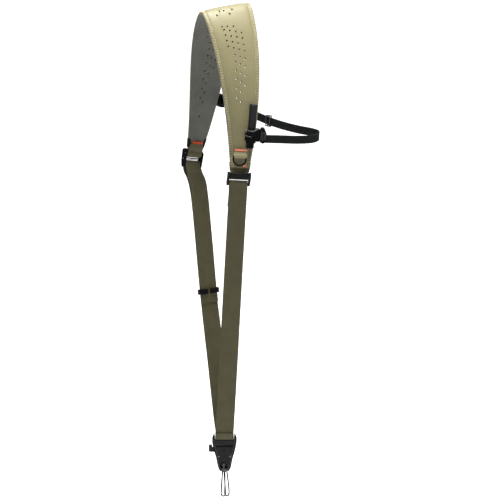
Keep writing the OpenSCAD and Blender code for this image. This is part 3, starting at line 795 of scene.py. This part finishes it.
rows += [row([-1.5, 3.35, -596.5], [1, 0, 0]), row([-1.5, 3.4, -592.2], [1, 0, 0])]
front = strap("front_leg_webbing", rows, 25.0, 1.5, M_WEB, 1.5, wave=0.06, edge=0.08, cols=11)
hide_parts("front_webbing", "front_leg_wrap", "bottom_loop")
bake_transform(front)

# rear leg: tail inside, over the lower bar, then the load-bearing leg down to the connector
R_AX, R_LOW = A3([0.7585, 0.6087, -0.2328]), A3([-46.07, 59.06, -232.36])
R_OUT = A3([-3.38, 4.07, -0.38])
tin = A3([0.45, -0.84, -0.13])
rows = [row(A3([-21.8, 31.3, -415]) + tin * 1.75, [.9, .42, .08]), row(A3([-23.6, 33.8, -400]) + tin * 1.75, [.89, .45, .08]),
        row(A3([-29.4, 43.6, -338]) + tin * 2.2, [.89, .45, .08]), row(A3([-36, 54.6, -270]) + tin * 2.3, [.89, .45, .08]),
        row(A3([-38.9, 58, -254]) + tin * 3.6, [.86, .5, .0]), row([-41.2, 56.0, -243.5], [.80, .57, -.12]),
        row([-42.9, 55.9, -236.6], [.77, .6, -.2])]
for p in bar_wrap(R_LOW, R_AX, R_OUT, [5.7, -2.4, -14.2], 2.62, 0.25, 4.4):
    rows.append(row(p, R_AX))
rows += [row([-45.5, 61.4, -240.0], [.77, .6, -.2]), row([-39.6, 59.2, -254], [.86, .5, 0]), row([-36, 54.8, -270], [.89, .45, .08]),
         row([-23.6, 33.8, -400], [.89, .45, .08]), row([-12.4, 17.8, -495], [.95, .26, .06]), row([-3.3, 6.0, -575], [1, .04, .05]),
         row([-1.5, 5.0, -588], [1, 0, .02]), row([-1.5, 4.95, -598], [1, 0, 0])]
rear = strap("rear_leg_webbing", rows, 24.8, 1.5, M_WEB, 1.5, wave=0.04, edge=0.06, cols=11)
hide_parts("rear_webbing", "rear_leg_wrap", "rear_webbing_tail")
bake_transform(rear)

# end loops: short webbing round each adjuster's upper pin, sewn into the pad
F_ROD, F_UP = A3([18.68, -69.229, -209.79]), unit([0.0648, 0.1034, 0.9925])
F_Y = np.cross(F_UP, F_AX)
loc = lambda o, x, y, z, p: A3(o) + A3(x) * p[0] + A3(y) * p[1] + A3(z) * p[2]
rows = [row(loc(F_ROD, F_AX, F_Y, F_UP, [0, 0.85, 8.5]), F_AX), row(loc(F_ROD, F_AX, F_Y, F_UP, [0, 1.1, 4.5]), F_AX)]
for k in range(9):
    a = math.radians(20 + 320 * k / 8)
    rows.append(row(loc(F_ROD, F_AX, F_Y, F_UP, [0, 2.5 * math.sin(a + 0), 2.5 * math.cos(a)]), F_AX) if 35 < math.degrees(a) < 325 else
                row(loc(F_ROD, F_AX, F_Y, F_UP, [0, 1.9 if k == 0 else -1.9, 2.1]), F_AX))
rows += [row(loc(F_ROD, F_AX, F_Y, F_UP, [0, -1.0, 4.5]), F_AX), row(loc(F_ROD, F_AX, F_Y, F_UP, [0, -0.85, 8.5]), F_AX)]
fl = strap("front_end_webbing", rows, 24.2, 1.3, M_WEB, 0.8, cols=9)
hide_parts("front_end_loop")
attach(fl, "harness")

R_ROD = A3([-43.102, 61.777, -215.603])
R_O = unit([-0.5954, 0.7925, 0.1321])
R_UP = unit(np.cross(R_AX, R_O))
R_UP = R_UP if R_UP[2] > 0 else -R_UP
pw = lambda s: pad_at(np.array([s]))[1][0]
rows = [row(pad_points([216.6], [0.3], [-0.85])[0], pw(216.6), 0.66), row(pad_points([220.5], [0.2], [-0.85])[0], pw(220.5), 0.78),
        row(pad_points([224.5], [0.0], [-0.8])[0], pw(224), 0.92), row(loc(R_ROD, R_AX, R_O, R_UP, [0, -1.75, 3.2]), R_AX)]
for k in range(7):
    a = math.radians(90 + 180 * k / 6)
    rows.append(row(loc(R_ROD, R_AX, R_O, R_UP, [0, -2.5 * math.sin(a), 2.5 * math.cos(a) - 2.3 * max(0.0, -math.cos(a))]), R_AX))
rows += [row(loc(R_ROD, R_AX, R_O, R_UP, [0, 2.1, 3.2]), R_AX), row(pad_points([224.5], [0.0], [1.6])[0], pw(224), 0.92),
         row(pad_points([220.0], [0.0], [1.5])[0], pw(220), 0.8)]
rl = strap("rear_end_webbing", rows, 24.2, 1.3, M_WEB, 0.8, cols=9)
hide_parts("rear_end_loop")
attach(rl, "harness")

# the front cover runs on a little past the foam, over the sewn loop
rows = []
for s_, h_ in ((-219.5, 2.6), (-222.5, 3.2), (-225.0, 3.3)):
    c_, w_, t_, n_ = (a[0] for a in pad_at(np.array([s_])))
    rows.append(row(c_ + n_ * h_, w_, 1.0 if s_ < -222 else 0.98))
c_, w_, t_, n_ = (a[0] for a in pad_at(np.array([-225.0])))
for q in (1.5, 3.0, 4.2):
    rows.append(row(c_ + n_ * (3.3 - 0.04 * q) - t_ * q, w_, 1.0 - 0.004 * q))
sk = strap("pad_end_skirt", rows, 24.9, 0.9, M_COVER, 0.8, cols=9)
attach(sk, "harness")

# D-ring tab: a short webbing folded over the ring's straight bar
T_O, T_Z = A3([19.6, -72.5, -184.0]), unit([0.08, 0.11, 1])
T_X = A3([0.9929, 0.0786, -0.0881])
T_Y = np.cross(T_Z, T_X)
tab = [(0.9, 8.0, 0.9), (1.2, 5.0, 0.92), (1.95, 2.0, 1.0), (2.05, 0.0, 1.02), (1.45, -1.45, 1.0), (0, -2.05, 1.0), (-1.45, -1.45, 1.05),
       (-2.05, 0.0, 1.10), (-1.95, 1.6, 1.12), (-1.55, 3.6, 1.04), (-1.2, 6.0, 0.94), (-1.1, 8.6, 0.90), (-1.05, 9.9, 0.90)]
rows = [row(loc(T_O, T_X, T_Y, T_Z, [0.4, y, z]), T_X, f) for y, z, f in tab]
tb = strap("d_ring_tab_webbing", rows, 16.4, 1.1, M_TAB, 0.7, cols=9)
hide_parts("d_ring_tab")
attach(tb, "harness")

# stabilizer strap, one length round its bend
stab = [[52.8, -67.2, -161.4], [75, -65.2, -162.6], [95, -63.6, -163.6], [111, -61.8, -163.6], [120.5, -58.4, -163], [125.5, -52.5, -161.6],
        [124.5, -46.5, -160.2], [117, -41, -159], [100, -31.5, -158], [80, -19, -156.2], [61, -5, -153.6], [45, 9, -150.4],
        [25, 29, -146.4], [8, 47, -143], [-2.6, 66.6, -141.2]]
st = strap("stabilizer_webbing", [row(p, [0.06, 0.05, 1]) for p in stab], 11.2, 1.4, M_STAB, 1.4, wave=0.03, edge=0.05, cols=9)
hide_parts("stabilizer_front_strap", "stabilizer_rear_strap")
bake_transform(st)


# ------------------------------------------------------------------ bar tacks and seams
def zigzag(o, x, up, n, width, height, count, lift=0.0):
    run = []
    for k in range(count + 1):
        u = -width / 2 + width * k / count
        v = height / 2 * (1 if k % 2 else -1)
        run.append(A3(o) + A3(x) * u + A3(up) * v * (1 + 0.12 * rng.uniform(-1, 1)) + A3(n) * (lift + 0.10 * rng.uniform(0, 1)))
    return run


tacks = []
n_t = -T_Y
o1 = loc(T_O, T_X, T_Y, T_Z, [0.4, -1.75, 8.2])
tacks.append(zigzag(o1, T_X, T_Z, n_t, 15.8, 3.1, 32, 0.05))
tacks.append(zigzag(o1, T_X, T_Z, n_t, 15.8, 2.5, 25, 0.28))
tacks.append([o1 + T_X * u + n_t * (0.35 + 0.05 * math.sin(u * 3)) for u in np.linspace(-7.6, 7.6, 22)])
o2 = loc(T_O, T_X, T_Y, T_Z, [7.0, -1.05, -13.0])
tacks.append(zigzag(o2, T_X, T_Z, n_t, 3.8, 2.8, 12, 0.10))
tacks.append(zigzag(o2, T_X, T_Z, n_t, 3.8, 2.0, 9, 0.34))
c3, w3, t3, n3 = (a[0] for a in pad_at(np.array([217.6])))
o3 = pad_points([217.6], [0.3], [-1.65])[0]
x3 = unit(w3 - A3([0, 0, 0.06]))
up3 = unit(np.cross(x3, n3))
tacks.append(zigzag(o3, x3, up3, -n3, 15.8, 3.1, 32, 0.05))
tacks.append(zigzag(o3, x3, up3, -n3, 15.8, 2.4, 24, 0.25))
tk = threads("bar_tack_threads", tacks, 0.30, M_ORANGE)
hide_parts("bartacks")
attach(tk, "harness")


# ------------------------------------------------------------------ dark fabric folded over the corners of the pad's ends
def corner_patches():
    V, F, UV = [], [], []
    for end in (-1, 1):
        for sgn in (-1, 1):
            grid = []
            cut = 3 if end < 0 else 0
            for i in range(13):
                s = end * (213.0 + 12.7 * i / 12)
                hw = float(pad_half_width(np.array(s)))
                prof = [(3.6, 3.75), (2.4, 3.85), (1.2, 3.85), (0.1, 3.5), (-0.45, 2.4), (-0.45, 1.2), (0.0, 0.1), (1.0, -0.35),
                        (2.4, -0.4), (3.4, -0.3)][cut:]
                grid.append([pad_points([s], [sgn * (hw - e)], [h])[0] for e, h in prof])
            m = len(grid[0])
            o = len(V)
            for i, g in enumerate(grid):
                for j, p in enumerate(g):
                    V.append(p * MM)
                    UV.append((j * 0.0012, i * 0.00105))
            F += [(o + i * m + j, o + i * m + j + 1, o + (i + 1) * m + j + 1, o + (i + 1) * m + j) for i in range(12) for j in range(m - 1)]
    ob = new_object("pad_corner_patches", V, F, M_PATCH, UV, 60)
    md = ob.modifiers.new("thickness", "SOLIDIFY")
    md.thickness = 0.0004
    md.offset = 0
    return ob


cp = corner_patches()
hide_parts("pad_end_patches")
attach(cp, "harness")


# ------------------------------------------------------------------ cords
left = [[-4.3, -1.2, -644.1], [-4.4, -1.2, -648], [-4.8, -1.2, -655], [-5.3, -1.2, -663], [-5.8, -1.2, -670], [-5.9, -1.2, -675.6],
        [-5.1, -1.2, -677.8], [-3.1, -1.2, -678.8], [-1.1, -1.2, -677.8], [-0.3, -1.2, -675.6], [-0.4, -1.2, -669], [-0.9, -1.2, -662],
        [-1.3, -1.2, -655], [-1.7, -1.2, -649], [-1.8, -1.2, -644.1]]
right = [[-0.9, 0.5, -644.1], [-0.9, 0.5, -648], [-0.9, 0.5, -655], [-0.9, 0.5, -662], [-1, 0.5, -669], [-1, 0.5, -675.6],
         [-0.2, 0.5, -677.9], [1.8, 0.5, -678.9], [3.8, 0.5, -677.9], [4.6, 0.5, -675.6], [4.5, 0.5, -669], [3.9, 0.4, -662],
         [3.1, 0.3, -655], [2.3, 0.2, -649], [1.9, 0.2, -644.1]]
CORD_LEN = {}
for name, node, pts in (("cord_left", "cord_loop_left", left), ("cord_right", "cord_loop_right", right)):
    line = catmull(pts, 0.9)
    V, F, UV = tube("", line, 0.95, M_CORD, 12)
    ob = new_object(name, V, F, M_CORD, UV, 60)
    length = float(np.linalg.norm(np.diff(line, axis=0), axis=1).sum()) * MM
    CORD_LEN[name] = round(length, 4)
    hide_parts(node)
    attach(ob, "anchor")
print("cord lengths", CORD_LEN)

# ------------------------------------------------------------------ painted highlights: slider rim and grip ribs
B_O, B_X, B_Z = A3([38.7, -68.1, -156.6]), unit([1, 0.10, -0.06]), unit([0.09, 0.10, 1])
B_Y = np.cross(B_Z, B_X)
# lighter tubes along the slider's top edge and its lever: a painted highlight of the lit rim
highlight_path = [[26.9, -74.4, -147.0], [29.0, -75.6, -147.3], [32.5, -76.0, -148.4], [36.5, -75.9, -148.9], [40.0, -75.2, -148.2], [43.0, -73.4, -147.0],
       [44.6, -71.8, -146.6]]
o = threads("slider_top_painted_highlight", [catmull(highlight_path, 0.7), catmull([[27.0, -74.6, -155.2], [31.0, -75.6, -156.0], [35.0, -75.7, -156.6]], 0.7)], 0.75, M_PAINTED_HIGHLIGHT,
            10)
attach(o, "front_slider")
# grip ribs on the tongue in lighter plastic: their glints are a painted highlight
rib_highlights = [catmull([loc(B_O, B_X, B_Y, B_Z, [x_, -4.45, z_]) for z_ in (-6.6 + k_, -2, 3, 6.6 - k_)], 1.0)
        for k_, x_ in ((0.0, 9.2), (0.3, 11.2), (0.9, 13.2), (1.8, 15.0))]
o = threads("buckle_grip_rib_highlights", rib_highlights, 0.42, M_PAINTED_HIGHLIGHT, 8)
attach(o, "buckle")


# ------------------------------------------------------------------ connector: lighter webbing band (painted highlight on the wrap), front lip, inner cheeks, edge lines (painted highlights)
# lighter sheet over the crossbar wrap: a painted highlight of its lit top
rows = []
for z_, y_ in ((-589.2, -4.75), (-590.4, -5.15), (-592.2, -5.35), (-594.6, -5.35), (-596.6, -5.2), (-597.9, -4.8)):
    rows.append(row([-1.7, y_, z_], [1, 0, 0.012]))
bd = strap("bottom_loop_highlight_band", rows, 23.2, 0.9, M_WEB_HIGHLIGHT, 0.6, cols=9)
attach(bd, "harness")


def plate(name, outline, y0, y1, mat, body, bevel=0.3):
    """A flat moulded piece: outline in x, z (mm), between two depths."""
    n = len(outline)
    V = [(x * MM, y0 * MM, z * MM) for x, z in outline] + [(x * MM, y1 * MM, z * MM) for x, z in outline]
    F = [tuple(range(n)), tuple(reversed(range(n, 2 * n)))] + [(i, i + n, (i + 1) % n + n, (i + 1) % n) for i in range(n)]
    ob = new_object(name, V, F, mat, None, 35)
    b = ob.modifiers.new("edges", "BEVEL")
    b.width = bevel * MM
    b.segments = 3
    b.limit_method = "ANGLE"
    b.angle_limit = math.radians(30)
    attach(ob, body)
    return ob


plate("connector_front_lip", [(-15.2, -608.6), (-15.6, -604), (-15.4, -599.9), (-13.8, -599.0), (-7, -599.2), (-1.5, -599.5), (4, -599.2),
                              (10.8, -599.0), (12.4, -599.9), (12.6, -604), (12.2, -608.6)], -5.5, -4.55, M_CONN, "connector", 0.35)
for side_, x0_ in (("left", -16.6), ("right", 11.2)):
    plate("connector_cheek_" + side_, [(x0_, -606.4), (x0_, -596.5), (x0_ + 0.6, -594.9), (x0_ + 1.9, -594.9), (x0_ + 2.4, -596.5), (x0_ + 2.4, -606.4)],
          -4.3, 4.3, M_CONN, "connector", 0.3)
# lighter lines along the connector's raised side rims and its lip: painted highlights
highlight_path = [[[-15.7, -5.55, -596.5], [-15.3, -5.6, -601], [-14.2, -5.6, -607.5], [-12.4, -5.6, -615], [-10.6, -5.6, -624], [-9.4, -5.6, -632],
        [-7.6, -5.5, -637.5], [-5.2, -5.4, -641]],
       [[12.7, -5.55, -596.5], [12.3, -5.6, -601], [11.2, -5.6, -607.5], [9.2, -5.6, -616], [7.4, -5.6, -625], [6.2, -5.6, -632],
        [4.4, -5.5, -637.5], [2.2, -5.4, -641]]]
o = threads("connector_edge_painted_highlights", [catmull(q, 0.8) for q in highlight_path] + [catmull([[-13.2, -5.62, -605.0], [-9, -5.62, -605.4], [-3.5, -5.62, -605.6]], 0.8)],
            0.34, M_PAINTED_HIGHLIGHT, 8)
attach(o, "connector")


# ------------------------------------------------------------------ materials and soft edges on the CAD's hard pieces
HARD = {
    "d_ring": (M_PLASTIC, 0.30), "front_rail": (M_RAIL, 0.5), "rear_rail": (M_RAIL, 0.5), "front_slider": (M_PLASTIC, 0.35),
    # the tri-glide takes the painted-highlight plastic: its grey glint is painted into its colour
    "rear_slider": (M_PLASTIC, 0.35), "buckle_socket": (M_PLASTIC, 0.35), "buckle_tongue": (M_PLASTIC, 0.35), "triglide": (M_PAINTED_HIGHLIGHT, 0.22),
    "front_adjuster_frame": (M_PLASTIC, 0.40), "rear_adjuster_frame": (M_PLASTIC, 0.40), "strap_keeper": (M_PLASTIC, 0.25),
    "connector_front_shell": (M_CONN, 0.45), "connector_back_shell": (M_CONN, 0.45), "release_button": (M_CONN, 0.5),
    "front_adjuster_pin": (M_PIN, 0.2), "rear_adjuster_pin": (M_PIN, 0.2), "front_adjuster_bar": (M_STEEL, 0.2),
    "rear_adjuster_bar": (M_STEEL, 0.2), "crossbar_pin": (M_STEEL, 0.25), "shell_rivets": (M_PIN, 0.2), "button_spring": (M_PIN, 0.0),
    "anchor_ball": (M_ANCHOR, 0.0),
}
for node, (mat, width) in HARD.items():
    ob = bpy.data.objects.get(node)
    if ob is None:
        print("missing node", node)
        continue
    ob.data.materials.clear()
    ob.data.materials.append(mat)
    if width > 0:
        w = ob.modifiers.new("weld", "WELD")
        w.merge_threshold = 2e-6
        d = ob.modifiers.new("planar", "DECIMATE")
        d.decimate_type = "DISSOLVE"
        d.angle_limit = math.radians(1.0)
        b = ob.modifiers.new("edges", "BEVEL")
        b.width = width * MM
        b.segments = 3
        b.limit_method = "ANGLE"
        b.angle_limit = math.radians(35)
        b.use_clamp_overlap = True
        b.harden_normals = False
